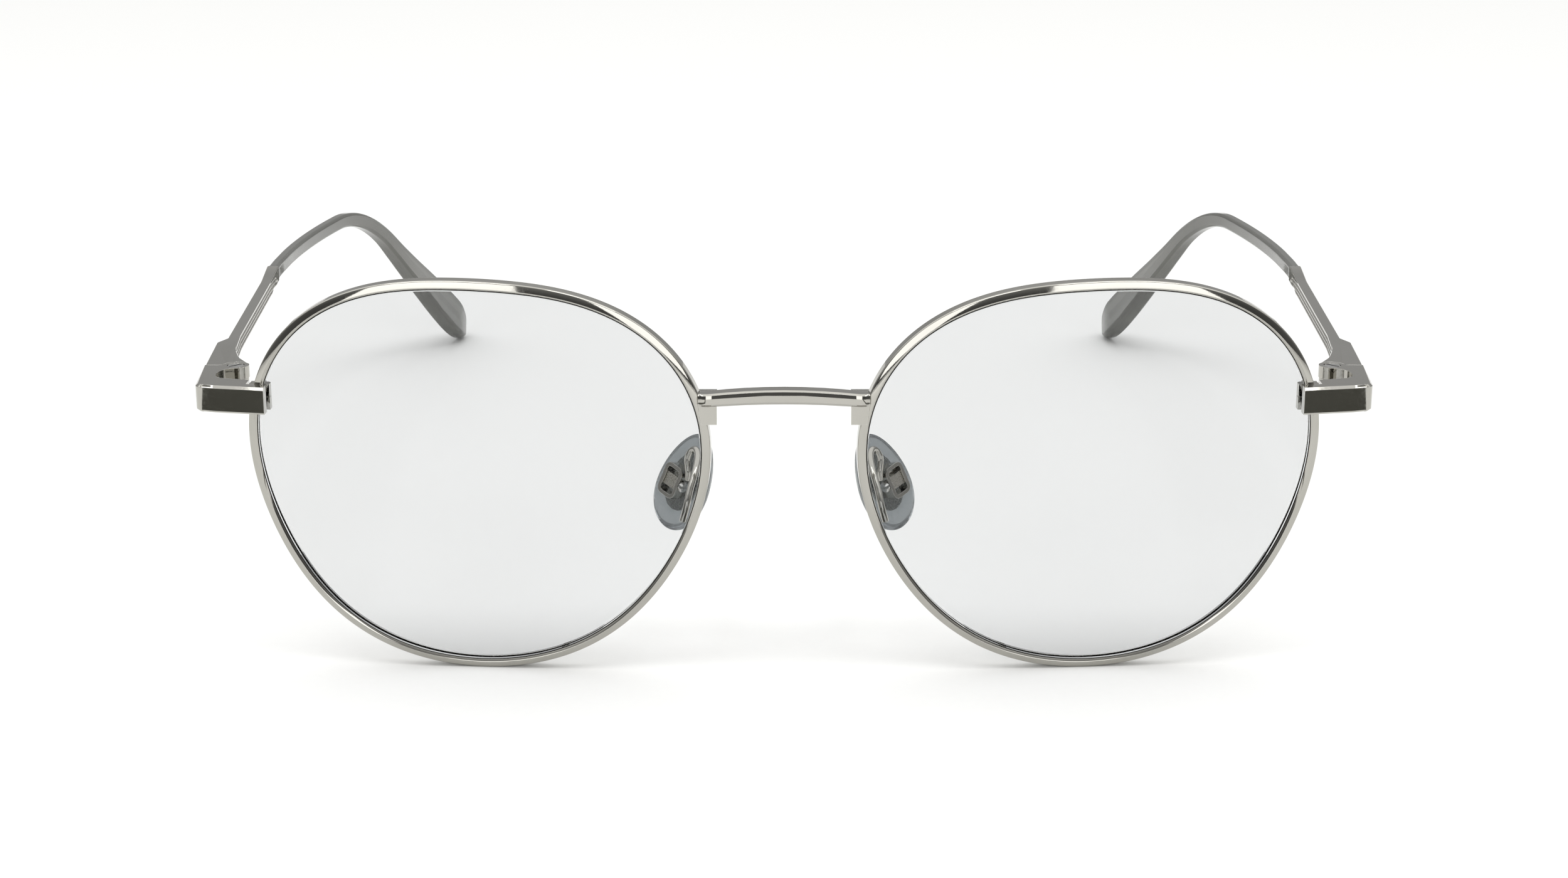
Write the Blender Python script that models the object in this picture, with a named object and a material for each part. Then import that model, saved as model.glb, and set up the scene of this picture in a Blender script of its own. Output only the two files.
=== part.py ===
"""Round wire eyeglasses: a metal front with two lenses, rocking nose pads and folding temples.

Everything is drawn in millimetres in the front's own frame: X to the wearer's left, Y from the
front towards the ears, Z up along the hinge screws, with the origin midway between the two hinge
screws, level with the tops of the endpieces. Each piece is made once for the wearer's left and
mirrored for the right. The empty "stand" then leans the whole pair back, so that the rims and the
temple tips rest on the ground plane Z = 0, with the middle of the outline over the world origin.
"""

import math

import bmesh
import bpy
from mathutils import Euler, Matrix, Vector

MM = 0.001
FIT = 0.05  # gap between pieces that are brazed, pressed or butted together

# How the open pair stands: leaned back about X, then lifted and centred
REST_LEAN = 2.581
STAND_Y = -61.634
STAND_Z = 34.565

# Lens plane: centre, turn about Z (face form), lean about X (pantoscopic), and base curve
LENS_X, LENS_Y, LENS_Z = 35.7, -11.3, -10.25
FACE_FORM = 3.5
PANTO = 4.0
BASE_CURVE = 175.0

# Outer edge of the rim: a mean radius and (cosine, sine) terms of its 2nd to 5th harmonics, which
# make it wider than tall, egg shaped with a flat brow, and slightly squared
RIM_RADIUS = 25.65
RIM_HARMONICS = {2: (1.40, 0.17), 3: (-0.20, 1.04), 4: (-0.30, 0.0), 5: (-0.06, 0.12)}
RIM_SPLIT = 18.5  # degrees above the temple side, where the closing blocks meet
RIM_STEPS = 56
# Eyewire section as (inward from the outer edge, front to back)
EYEWIRE = [
    (0.0, -0.66), (0.08, -0.78), (0.80, -0.97), (1.15, -0.62), (1.15, -0.42), (0.70, 0.0),
    (1.15, 0.42), (1.15, 0.80), (1.00, 0.95), (0.20, 0.95), (0.0, 0.70),
]
LENS_EDGE = 1.20  # lens outline, inward from the rim's outer edge
LENS_BEVEL = 0.34  # how far the bevel reaches into the groove
LENS_HALF_THICK = 0.75

# Endpiece, hinge and temple
FRAME_TOP, FRAME_BOTTOM = 0.0, -3.2
HINGE_X, HINGE_Y = 65.4, 0.25
KNUCKLE_R = 1.6
SCREW_R, HEAD_R, HEAD_DEEP = 0.5, 1.0, 0.5
BARREL_R = 1.5
BARREL_TOP, BARREL_BOTTOM = -1.5, -2.3
SEAM_Y = 0.26  # where the open temple butts against the endpiece
TEMPLE_X = 69.05  # outer face at the seam
BAR_TOP, BAR_HEIGHT, BAR_THICK = 0.0, 2.1, 1.35
TIP_START = 55.3  # Y where the plastic tip takes over from the bare bar
BEND_Y, BEND_R, BEND_ANGLE = 93.5, 30.0, 40.0
CURL_Y, CURL_R = 52.0, 171.0  # the temple curls inward from here, on this plan radius
TWIST_START, TWIST_END, TWIST = 104.0, 132.0, 17.0  # the paddle's lower edge leans in
TEMPLE_END = 146.2  # length along the temple
TIP_CENTRE_Z = -0.35
# Height and thickness of the plastic tip by length along the temple
TIP_HEIGHT = [
    (TIP_START, 2.1), (95.0, 2.1), (105.0, 2.3), (112.0, 2.6), (118.0, 3.1), (124.0, 4.0),
    (130.0, 5.1), (135.0, 5.9), (139.0, 6.2), (142.2, 5.9), (144.3, 4.7), (145.6, 3.1),
    (TEMPLE_END, 1.4),
]
TIP_THICK = [
    (TIP_START, 1.6), (95.0, 1.75), (105.0, 2.0), (118.0, 2.4), (130.0, 2.7), (142.0, 2.8),
    (145.6, 2.0), (TEMPLE_END, 1.3),
]
TIP_BEVEL = 0.35
CORE_END = 141.2
CORE_STATIONS = [64.0, 74.0, 84.0, 93.5, 97.0, 101.0, 105.0, 109.0, 113.0, 120.0, 130.0]

# Closing blocks behind the rim at the split
BLOCK_X, BLOCK_Y = (59.85, 62.25), (-8.75, -6.1)
BLOCK_TOP, BLOCK_BOTTOM = -0.35, -3.4
CLOSING_SCREW = (61.4, -6.55)

# Bridge
BRIDGE_HALF = 9.9
BRIDGE_RISE = 0.55
BRIDGE_Z = -0.38

# Nose pads: centre, turn about Z of the face that carries the box, and lean towards the nose
PAD_CENTRE = (11.87, 0.1, -14.35)
PAD_SPLAY, PAD_LEAN = 45.0, 22.0
PAD_LONG, PAD_WIDE = 6.2, 4.0  # half length and half width
BOX_WIDE, BOX_HIGH, BOX_HALF = 1.5, 2.0, 0.75  # half sizes of the pad box
BOX_MID = 2.05  # box centre, out from the pad's middle plane
WIRE_R = 0.4


# ---------------------------------------------------------------------------
# Tools


def clear_scene():
    for obj in list(bpy.data.objects):
        bpy.data.objects.remove(obj)


def finish(name, colour, roughness, metallic, alpha=1.0):
    material = bpy.data.materials.new(name)
    material.use_nodes = True
    shader = material.node_tree.nodes["Principled BSDF"]
    shader.inputs["Base Color"].default_value = (*colour, 1.0)
    shader.inputs["Roughness"].default_value = roughness
    shader.inputs["Metallic"].default_value = metallic
    shader.inputs["Alpha"].default_value = alpha
    return material


def new_object(name, mesh, material=None, smooth=30.0):
    obj = bpy.data.objects.new(name, mesh)
    bpy.context.scene.collection.objects.link(obj)
    if material:
        mesh.materials.clear()
        mesh.materials.append(material)
    mesh.shade_smooth()
    mesh.set_sharp_from_angle(angle=math.radians(smooth))
    return obj


def solid(name, points, faces, material=None):
    """A closed mesh object from points in millimetres, with its faces turned outward."""
    shape = bmesh.new()
    corners = [shape.verts.new([c * MM for c in p]) for p in points]
    for face in faces:
        shape.faces.new([corners[i] for i in face])
    bmesh.ops.recalc_face_normals(shape, faces=shape.faces)
    mesh = bpy.data.meshes.new(name)
    shape.to_mesh(mesh)
    shape.free()
    return new_object(name, mesh, material)


def loft(rings, closed=False):
    """Points and faces that join rings of equal length, capped unless the last meets the first."""
    size = len(rings[0])
    points = [p for ring in rings for p in ring]
    spans = len(rings) if closed else len(rings) - 1
    faces = []
    for i in range(spans):
        a, b = i * size, (i + 1) % len(rings) * size
        for j in range(size):
            k = (j + 1) % size
            faces.append((a + j, a + k, b + k, b + j))
    if not closed:
        faces.append(tuple(range(size)))
        faces.append(tuple(reversed(range(len(points) - size, len(points)))))
    return points, faces


def prism(outline, bottom, top):
    """Rings for a plan outline drawn up between two heights."""
    return [[(x, y, bottom) for x, y in outline], [(x, y, top) for x, y in outline]]


def disc(x, y, radius, steps=32):
    turns = [2 * math.pi * i / steps for i in range(steps)]
    return [(x + radius * math.cos(a), y + radius * math.sin(a)) for a in turns]


def arc(x, y, radius, start, end, steps):
    """Points from start to end, in degrees, both included."""
    turns = [math.radians(start + (end - start) * i / steps) for i in range(steps + 1)]
    return [(x + radius * math.cos(a), y + radius * math.sin(a)) for a in turns]


def applied(target, operation, *others):
    """The target's mesh after joining or cutting it with others, which are used up."""
    for other in others:
        step = target.modifiers.new("join", "BOOLEAN")
        step.operation = operation
        step.object = other
    graph = bpy.context.evaluated_depsgraph_get()
    mesh = bpy.data.meshes.new_from_object(target.evaluated_get(graph))
    target.modifiers.clear()
    target.data = mesh
    mesh.name = target.name
    mesh.shade_smooth()
    mesh.set_sharp_from_angle(angle=math.radians(30.0))
    for other in others:
        bpy.data.objects.remove(other)
    return target


def mirrored(obj, name):
    """A copy of a left-hand piece for the right-hand side."""
    shape = bmesh.new()
    shape.from_mesh(obj.data)
    bmesh.ops.scale(shape, vec=(-1.0, 1.0, 1.0), verts=shape.verts)
    bmesh.ops.reverse_faces(shape, faces=shape.faces)
    mesh = bpy.data.meshes.new(name)
    shape.to_mesh(mesh)
    shape.free()
    return new_object(name, mesh, obj.data.materials[0] if obj.data.materials else None)


def pair(obj):
    """The left piece and its mirror image, which share a name but for the side."""
    name = obj.name.removesuffix("_left")
    return {"left": obj, "right": mirrored(obj, f"{name}_right")}


def set_origin(obj, parent, x=0.0, y=0.0, z=0.0):
    """Hangs a piece from the parent with its own origin at a joint's place, in millimetres."""
    place = Vector((x, y, z)) * MM
    obj.data.transform(Matrix.Translation(-place))
    obj.location = place
    obj.parent = parent


def mix(table, at):
    """Straight-line reading of a table of (place, value) pairs."""
    for (a, low), (b, high) in zip(table, table[1:]):
        if at <= b:
            return low + (high - low) * max(0.0, at - a) / (b - a)
    return table[-1][1]


# ---------------------------------------------------------------------------
# Lens and rim


def rim_radius(angle):
    return RIM_RADIUS + sum(
        c * math.cos(n * angle) + s * math.sin(n * angle) for n, (c, s) in RIM_HARMONICS.items()
    )


def lens_axes():
    """Unit vectors towards the temple, up and back in the left lens plane."""
    turn, lean = math.radians(FACE_FORM), math.radians(PANTO)
    tip = Matrix.Rotation(lean, 3, "X")
    out = tip @ Vector((math.cos(turn), math.sin(turn), 0.0))
    back = tip @ Vector((-math.sin(turn), math.cos(turn), 0.0))
    return out, tip @ Vector((0.0, 0.0, 1.0)), back


def lens_point(angle, radius, depth):
    """A point at polar angle and radius in the lens plane, depth behind the base curve."""
    out, up, back = lens_axes()
    sag = radius * radius / (2 * BASE_CURVE)
    centre = Vector((LENS_X, LENS_Y, LENS_Z))
    flat = out * (radius * math.cos(angle)) + up * (radius * math.sin(angle))
    return centre + flat + back * (depth + sag)


def rim_sweep(section, steps, gap=0.0):
    """Rings of an eyewire section carried once round the lens from the split."""
    first = math.radians(RIM_SPLIT) + gap / RIM_RADIUS
    turn = 2 * math.pi - 2 * gap / RIM_RADIUS
    count = steps if gap == 0 else steps + 1
    rings = []
    for i in range(count):
        angle = first + turn * i / steps
        radius = rim_radius(angle)
        rings.append([lens_point(angle, radius - inward, depth) for inward, depth in section])
    return rings


def make_rim(metal):
    return solid("rim_left", *loft(rim_sweep(EYEWIRE, RIM_STEPS, FIT)), metal)


def rim_envelope():
    """The rim and the lens edge with a fitting gap round them, which cuts their neighbours."""
    section = [
        (-FIT, -0.64), (0.04, -0.82), (0.70, -1.02), (3.0, -1.02), (3.0, 1.0), (0.18, 1.0),
        (-FIT, 0.74),
    ]
    return solid("rim_envelope", *loft(rim_sweep(section, RIM_STEPS), closed=True))


def make_lens(clear):
    """A meniscus lens with a V bevel round its edge."""
    first = math.radians(RIM_SPLIT)
    turns = [first + 2 * math.pi * i / RIM_STEPS for i in range(RIM_STEPS)]
    edge = [(-LENS_HALF_THICK, 0.0), (-0.36, 0.0), (0.0, LENS_BEVEL), (0.36, 0.0)]
    edge.append((LENS_HALF_THICK, 0.0))
    rings = []
    rings.append([lens_point(a, (rim_radius(a) - LENS_EDGE) * 0.6, -LENS_HALF_THICK)
                  for a in turns])
    for depth, out in edge:
        rings.append([lens_point(a, rim_radius(a) - LENS_EDGE + out, depth) for a in turns])
    rings.append([lens_point(a, (rim_radius(a) - LENS_EDGE) * 0.6, LENS_HALF_THICK)
                  for a in turns])
    points, faces = loft(rings)
    faces = faces[:-2]
    for ring, depth in ((0, -LENS_HALF_THICK), (len(rings) - 1, LENS_HALF_THICK)):
        points.append(lens_point(0.0, 0.0, depth))
        start = ring * RIM_STEPS
        for j in range(RIM_STEPS):
            faces.append((start + j, start + (j + 1) % RIM_STEPS, len(points) - 1))
    return solid("lens_left", points, faces, clear)


# ---------------------------------------------------------------------------
# Bridge


def bridge_section(x):
    """The bar's section at one place along it: flat top, front and bottom bevels."""
    share = min(abs(x) / 9.3, 1.0)
    top = BRIDGE_Z + BRIDGE_RISE * (1 - share * share)
    bottom = -1.85 + 0.38 * (1 - share * share)
    front = -12.95 + 0.55 * max(0.0, (abs(x) - 8.3) / 1.6) ** 2
    return [
        (x, -10.85, top), (x, front + 0.45, top), (x, front + 0.12, top - 0.15),
        (x, front, top - 0.52), (x, front, bottom + 0.32), (x, front + 0.3, bottom),
        (x, -11.1, bottom), (x, -10.85, bottom + 0.25),
    ]


def brazing_block(side):
    """The upright block behind one end of the bar, on the rim's outer side."""
    left, right = (7.72, 9.9) if side > 0 else (-9.9, -7.72)
    rings = [
        [(left, -12.3, z), (right, -12.3, z), (right, -9.75, z), (left, -9.75, z)]
        for z in (-4.0, -0.4)
    ]
    return solid("block", *loft(rings))


def make_bridge(metal):
    places = [-BRIDGE_HALF, -9.4, -8.8, -8.2, -6.5, -4.5, -2.2, 0.0]
    places += [-x for x in reversed(places[:-1])]
    bridge = solid("bridge", *loft([bridge_section(x) for x in places]), metal)
    applied(bridge, "UNION", brazing_block(1), brazing_block(-1))
    left, right = pair(rim_envelope()).values()
    return applied(bridge, "DIFFERENCE", left, right)


# ---------------------------------------------------------------------------
# Endpiece and closing blocks


def endpiece_outline(inset=0.0):
    """Plan of the hooked endpiece, its front edges drawn back by the inset."""
    front = [(59.95, -11.0), (65.9, -9.87), (67.25, -9.4)]
    corner = arc(66.75, -8.0, 1.62, -60, 0, 4)
    outer = [(TEMPLE_X, SEAM_Y)]
    knuckle = [(HINGE_X + KNUCKLE_R, SEAM_Y)] + arc(HINGE_X, HINGE_Y, KNUCKLE_R, 15, 270, 17)
    bay = [(66.25, -1.85), (66.7, -2.8), (66.85, -4.1), (66.6, -5.3), (65.9, -6.05), (64.4, -6.45)]
    arm = [(62.35, -7.0), (62.35, -8.9), (59.95, -9.4)]
    drawn = [(x + 0.15 * inset, y + inset) for x, y in front]
    drawn += [(x - inset, y + 0.4 * inset) for x, y in corner]
    return drawn + outer + knuckle + bay + arm


def make_endpiece(metal):
    """Hooked corner block: bevelled front, notch for the rim, and two hinge ears."""
    bevel, relief = 0.3, 0.2
    levels = [
        (FRAME_BOTTOM, relief), (FRAME_BOTTOM + relief, 0.0), (FRAME_TOP - bevel, 0.0),
        (FRAME_TOP, bevel),
    ]
    rings = [[(x, y, z) for x, y in endpiece_outline(inset)] for z, inset in levels]
    block = solid("endpiece_left", *loft(rings), metal)
    slot = solid("slot", *loft(prism(disc(HINGE_X, HINGE_Y, 1.72), BARREL_BOTTOM - FIT,
                                     BARREL_TOP + FIT)))
    hole = solid("hole", *loft(prism(disc(HINGE_X, HINGE_Y, SCREW_R + 0.04, 20), -4.0, 1.0)))
    seat = solid("seat", *loft(prism(disc(HINGE_X, HINGE_Y, HEAD_R + 0.04), -HEAD_DEEP - FIT, 1)))
    return applied(block, "DIFFERENCE", slot, hole, seat, rim_envelope())


def closing_block(name, bottom, top, metal):
    (x0, x1), (y0, y1) = BLOCK_X, BLOCK_Y
    outline = [(x0, y0), (x1, y0), (x1, y1), (x0 + 0.3, y1), (x0, y1 - 0.3)]
    block = solid(name, *loft(prism(outline, bottom, top)), metal)
    x, y = CLOSING_SCREW
    hole = solid("hole", *loft(prism(disc(x, y, 0.37, 20), -4.5, 1.0)))
    return applied(block, "DIFFERENCE", hole, rim_envelope())


def make_closing_blocks(metal):
    """The two halves that clamp the rim's ends; the screw's head hangs below the lower one."""
    middle = (BLOCK_TOP + BLOCK_BOTTOM) / 2
    upper = closing_block("closing_block_upper_left", middle + FIT, BLOCK_TOP, metal)
    lower = closing_block("closing_block_lower_left", BLOCK_BOTTOM, middle - FIT, metal)
    return upper, lower


def screw(name, profile, metal, slot_width, slot_deep, steps=24):
    """A turned screw from (radius, height) pairs, top to bottom, with a slot across its head."""
    turns = [2 * math.pi * i / steps for i in range(steps)]
    rings = [[(r * math.cos(a), r * math.sin(a), z) for a in turns] for r, z in profile]
    body = solid(name, *loft(rings), metal)
    top = profile[0][1]
    half = profile[1][0] + 0.2
    bar = [(-half, -slot_width / 2), (half, -slot_width / 2), (half, slot_width / 2),
           (-half, slot_width / 2)]
    cutter = solid("cutter", *loft(prism(bar, top - slot_deep, top + 0.2)))
    return applied(body, "DIFFERENCE", cutter)


def make_closing_screw(metal):
    low = BLOCK_BOTTOM - FIT
    profile = [(0.4, 0.4), (0.48, 0.3), (0.48, 0.0), (0.32, 0.0), (0.32, -2.95)]
    piece = screw("closing_screw_left", profile, metal, 0.22, 0.22)
    flip = Matrix.Rotation(math.pi, 4, "X")
    x, y = CLOSING_SCREW
    piece.data.transform(Matrix.Translation(Vector((x, y, low)) * MM) @ flip)
    return piece


def make_hinge_screw(metal):
    profile = [
        (0.92, -0.03), (HEAD_R, -0.1), (HEAD_R, -HEAD_DEEP), (SCREW_R, -HEAD_DEEP),
        (SCREW_R, FRAME_BOTTOM + 0.15), (SCREW_R - 0.12, FRAME_BOTTOM + 0.03),
    ]
    piece = screw("hinge_screw_left", profile, metal, 0.26, 0.28)
    turn = Matrix.Rotation(math.radians(-46.0), 4, "Z")
    piece.data.transform(Matrix.Translation(Vector((HINGE_X, HINGE_Y, 0)) * MM) @ turn)
    return piece


# ---------------------------------------------------------------------------
# Temple and tip


def temple_outer(y):
    """X of the temple's outer face: thick root, a bevelled step in, then a gentle curl."""
    step = [(SEAM_Y, TEMPLE_X), (11.9, 70.15), (14.2, 69.3), (CURL_Y, 72.15)]
    if y <= CURL_Y:
        return mix(step, y)
    run = y - CURL_Y
    return 72.15 + 0.0655 * run - run * run / (2 * CURL_R)


def temple_line(s):
    """Centre of the temple at length s, seen from the side: (y, z, slope angle)."""
    bend = BEND_R * math.radians(BEND_ANGLE)
    if s <= BEND_Y:
        return s, TIP_CENTRE_Z, 0.0
    turn = min((s - BEND_Y) / bend, 1.0) * math.radians(BEND_ANGLE)
    rest = max(s - BEND_Y - bend, 0.0)
    y = BEND_Y + BEND_R * math.sin(turn) + rest * math.cos(turn)
    z = TIP_CENTRE_Z - BEND_R * (1 - math.cos(turn)) - rest * math.sin(turn)
    return y, z, turn


def temple_ring(s, corners, thick):
    """Points round the temple at length s. Corners are (inward from outer face, up)."""
    y, z, turn = temple_line(s)
    slope = (temple_outer(y + 0.5) - temple_outer(y - 0.5)) * math.cos(turn)
    along = Vector((slope, math.cos(turn), -math.sin(turn))).normalized()
    level = Vector((along.y, -along.x, 0.0)).normalized()
    share = max(0.0, min((s - TWIST_START) / (TWIST_END - TWIST_START), 1.0))
    side = Matrix.Rotation(math.radians(TWIST * share * share * (3 - 2 * share)), 3, along) @ level
    up = side.cross(along)
    middle = Vector((temple_outer(y), y, z)) - side * (thick / 2)
    return [middle + side * (thick / 2 - inward) + up * height for inward, height in corners]


def bevelled(thick, height, cut):
    """An eight-cornered section as (inward from the outer face, up from the middle)."""
    h = height / 2
    return [
        (0.0, h - cut), (cut, h), (thick - cut, h), (thick, h - cut),
        (thick, cut - h), (thick - cut, -h), (cut, -h), (0.0, cut - h),
    ]


def temple_inner(y):
    """X of the inner face of the root, which flares in to wrap the knuckle."""
    flare = [
        (0.31, 64.6), (1.2, 64.25), (1.75, 64.4), (3.75, 65.55), (6.0, 66.4), (8.6, 67.03),
        (10.6, 67.4), (14.0, 67.82), (16.4, 68.12),
    ]
    return mix(flare, y)


def root_ring(y):
    """Upright section of the thick root, level on top and rising underneath."""
    low = mix([(0.31, -3.0), (5.0, -3.0), (13.0, -BAR_HEIGHT), (60.0, -BAR_HEIGHT)], y)
    out = temple_outer(y)
    inner = temple_inner(y) if y < 16.4 else out - BAR_THICK
    cut = 0.12
    top = BAR_TOP
    return [
        (out, y, top - cut), (out - cut, y, top), (inner + cut, y, top), (inner, y, top - cut),
        (inner, y, low + cut), (inner + cut, y, low), (out - cut, y, low), (out, y, low + cut),
    ]


def core_ring(s, grow=0.0):
    """The metal strip inside the tip, which thins towards its end."""
    wide = mix([(55.0, 1.5), (CORE_END, 1.2)], s) + 2 * grow
    deep = 0.8 + 2 * grow
    tip = mix(TIP_THICK, s)
    lead = tip / 2 - deep / 2
    corners = [(i + lead, h) for i, h in bevelled(deep, wide, 0.1)]
    return temple_ring(s, corners, tip)


def make_temple(metal):
    """Root, grooved bar and core strip in one piece, with the middle barrel of the hinge."""
    root = [0.31, 1.2, 1.75, 2.7, 3.75, 5.0, 7.0, 8.6, 10.6, 11.9, 13.0, 14.2, 16.4]
    bar = [24.0, 34.0, 44.0, 48.0]
    rings = [root_ring(y) for y in root + bar]
    rings.append(temple_ring(TIP_START - 0.4, bevelled(1.6, 2.1, 0.12), 1.6))
    rings.append(temple_ring(TIP_START - 0.05, bevelled(1.6, 2.1, 0.12), 1.6))
    rings.append(core_ring(TIP_START - 0.04))
    rings += [core_ring(s) for s in CORE_STATIONS + [CORE_END]]
    temple = solid("temple_left", *loft(rings), metal)
    well = solid("well", *loft(prism(disc(HINGE_X, HINGE_Y, KNUCKLE_R + 0.06, 40), -4.0, 1.0)))
    applied(temple, "DIFFERENCE", well)
    neck = [(HINGE_X, HINGE_Y), (67.5, 0.9), (67.4, 3.2), (65.6, 3.3), (64.95, 1.5)]
    barrel = solid("barrel", *loft(prism(disc(HINGE_X, HINGE_Y, BARREL_R), BARREL_BOTTOM,
                                         BARREL_TOP)))
    web = solid("web", *loft(prism(neck, BARREL_BOTTOM + 0.01, BARREL_TOP - 0.01)))
    applied(temple, "UNION", barrel, web)
    bore = solid("bore", *loft(prism(disc(HINGE_X, HINGE_Y, SCREW_R + 0.05, 20), -4.0, 1.0)))
    return applied(temple, "DIFFERENCE", bore)


def make_temple_tip(acetate):
    """Plastic sleeve over the core: slim along the bar, a paddle behind the ear."""
    stations = [TIP_START, 58.0, 66.0, 76.0, 86.0, 93.5, 96.5, 99.5, 102.5, 105.5, 108.5, 111.5]
    stations += [114.5, 118.0, 124.0, 130.0, 135.0, 139.0, 142.2, 144.3, 145.6, TEMPLE_END]
    rings = []
    for s in stations:
        thick, height = mix(TIP_THICK, s), mix(TIP_HEIGHT, s)
        cut = min(TIP_BEVEL, thick * 0.4, height * 0.4)
        rings.append(temple_ring(s, bevelled(thick, height, cut), thick))
    tip = solid("temple_tip_left", *loft(rings), acetate)
    run = [TIP_START - 1.0] + CORE_STATIONS + [CORE_END + FIT]
    bore = solid("bore", *loft([core_ring(s, FIT) for s in run]))
    return applied(tip, "DIFFERENCE", bore)


# ---------------------------------------------------------------------------
# Nose pads


def pad_place():
    """From pad axes (out to the box, rearward width, up) to the front's frame."""
    lean = Euler((0.0, -math.radians(PAD_LEAN), 0.0)).to_matrix().to_4x4()
    turn = Matrix.Rotation(-math.radians(PAD_SPLAY), 4, "Z")
    return Matrix.Translation(Vector(PAD_CENTRE)) @ lean @ turn


def placed(points):
    matrix = pad_place()
    return [matrix @ Vector(p) for p in points]


def egg(scale, out, steps=28, long=PAD_LONG, wide=PAD_WIDE):
    """A ring of the pad's outline, fuller below than above."""
    ring = []
    for i in range(steps):
        a = 2 * math.pi * i / steps
        width = wide * (1 - 0.2 * math.cos(a)) * math.sin(a)
        ring.append((out, scale * width, scale * long * math.cos(a)))
    return ring


def make_nose_pad(silicone):
    """Soft pad: flat towards the box, domed towards the nose, hollow for its insert."""
    shape = [(0.86, 0.75), (0.97, 0.55), (1.0, 0.2), (0.97, -0.3), (0.87, -0.8), (0.6, -1.25)]
    rings = [placed(egg(scale, out)) for scale, out in shape]
    points, faces = loft(rings)
    faces.pop()
    points.append(placed([(-1.42, 0.0, 0.0)])[0])
    start = (len(rings) - 1) * len(rings[0])
    for j in range(len(rings[0])):
        faces.append((start + j, start + (j + 1) % len(rings[0]), len(points) - 1))
    pad = solid("nose_pad_left", points, faces, silicone)
    plate = solid("plate", *loft([placed(egg(0.62, 0.02, 20)), placed(egg(0.62, 0.4, 20))]))
    mouth = solid("mouth", *loft([placed(lug_ring(0.2, 0.05)), placed(lug_ring(1.0, 0.05))]))
    return applied(pad, "DIFFERENCE", applied(plate, "UNION", mouth))


def lug_ring(out, grow=0.0):
    """Section of the lug that stands up into the box."""
    w, h = 1.0 + grow, 0.8 + grow
    return [(out, -w, -h), (out, w, -h), (out, w, h), (out, -w, h)]


def make_pad_insert(metal):
    """Plate cast into the pad, with the lug that the box holds."""
    plate = solid("pad_insert_left", *loft([placed(egg(0.6, 0.07, 20)), placed(egg(0.6, 0.35, 20))]),
                  metal)
    lug = solid("lug", *loft([placed(lug_ring(0.2)), placed(lug_ring(BOX_MID + 0.5))]))
    bore = solid("bore", *loft(across_rings(0.44, 3.0)))
    return applied(applied(plate, "UNION", lug), "DIFFERENCE", bore)


def across_rings(radius, half, steps=16):
    """Rings of a round bar along the pad screw's axis."""
    turns = [2 * math.pi * i / steps for i in range(steps)]
    return [
        placed([(BOX_MID + radius * math.cos(a), w, radius * math.sin(a)) for a in turns])
        for w in (-half, half)
    ]


def rounded(wide, high, corner, out):
    """A rounded rectangle at one distance out from the pad."""
    ring = []
    for i, (sy, sz) in enumerate(((1, 1), (-1, 1), (-1, -1), (1, -1))):
        centre = sy * (wide - corner), sz * (high - corner)
        ring += [(out, y, z) for y, z in arc(*centre, corner, 90 * i, 90 * i + 90, 3)]
    return placed(ring)


def make_pad_box(metal):
    """Open cup that holds the lug, a rounded rectangular ring."""
    outs = (BOX_MID - BOX_HALF, BOX_MID + BOX_HALF)
    cup = [rounded(BOX_WIDE, BOX_HIGH, 0.8, out) for out in outs]
    hollow = [rounded(BOX_WIDE - 0.45, BOX_HIGH - 0.45, 0.4, out)
              for out in (outs[0] - 1, outs[1] + 1)]
    ring = solid("pad_box_left", *loft(cup), metal)
    bore = across_rings(0.42, 3.0)
    return applied(ring, "DIFFERENCE", solid("hollow", *loft(hollow)), solid("bore", *loft(bore)))


def make_pad_screw(metal):
    """Cross screw through the box and the lug, its head towards the front."""
    profile = [(0.55, 0.45), (0.72, 0.32), (0.72, 0.0), (0.38, 0.0), (0.38, -3.2)]
    piece = screw("pad_screw_left", profile, metal, 0.22, 0.22, 20)
    face = Matrix.Translation(Vector((BOX_MID, -BOX_WIDE - 0.06, 0.0)) * MM)
    turn = Matrix.Rotation(math.radians(90.0), 4, "X")
    place = pad_place()
    place.translation *= MM
    piece.data.transform(place @ face @ turn)
    return piece


def arm_route():
    """The hairpin from its foot behind the rim, up and over, and down to the box."""
    end = placed([(BOX_MID, -BOX_WIDE - WIRE_R - FIT, 1.1)])[0]
    return [
        Vector((11.95, -9.2, -16.5)), Vector((11.4, -9.0, -14.5)), Vector((11.05, -8.0, -13.0)),
        Vector((10.6, -6.8, -11.6)), Vector((10.3, -5.5, -10.5)), Vector((10.25, -4.3, -9.75)),
        Vector((10.5, -3.4, -9.4)), Vector((11.0, -2.75, -9.7)), Vector((11.5, -2.55, -10.7)),
        end + Vector((-0.1, -0.15, 0.9)), end,
    ]


def make_pad_arm(metal):
    """Round wire on a smooth route, its foot brazed behind the rim."""
    route = arm_route()
    steps, rings = 8, []
    for i in range(len(route) - 1):
        before, start = route[max(i - 1, 0)], route[i]
        end, after = route[i + 1], route[min(i + 2, len(route) - 1)]
        for t in (0.0, 0.5):
            spot = catmull(before, start, end, after, t)
            ahead = catmull(before, start, end, after, t + 0.05)
            rings.append(wire_ring(spot, ahead - spot, steps))
    rings.append(wire_ring(route[-1], route[-1] - route[-2], steps))
    return solid("pad_arm_left", *loft(rings), metal)


def catmull(a, b, c, d, t):
    """A point on the smooth curve between b and c."""
    return 0.5 * (2 * b + (c - a) * t + (2 * a - 5 * b + 4 * c - d) * t**2
                  + (3 * b - a - 3 * c + d) * t**3)


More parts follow.
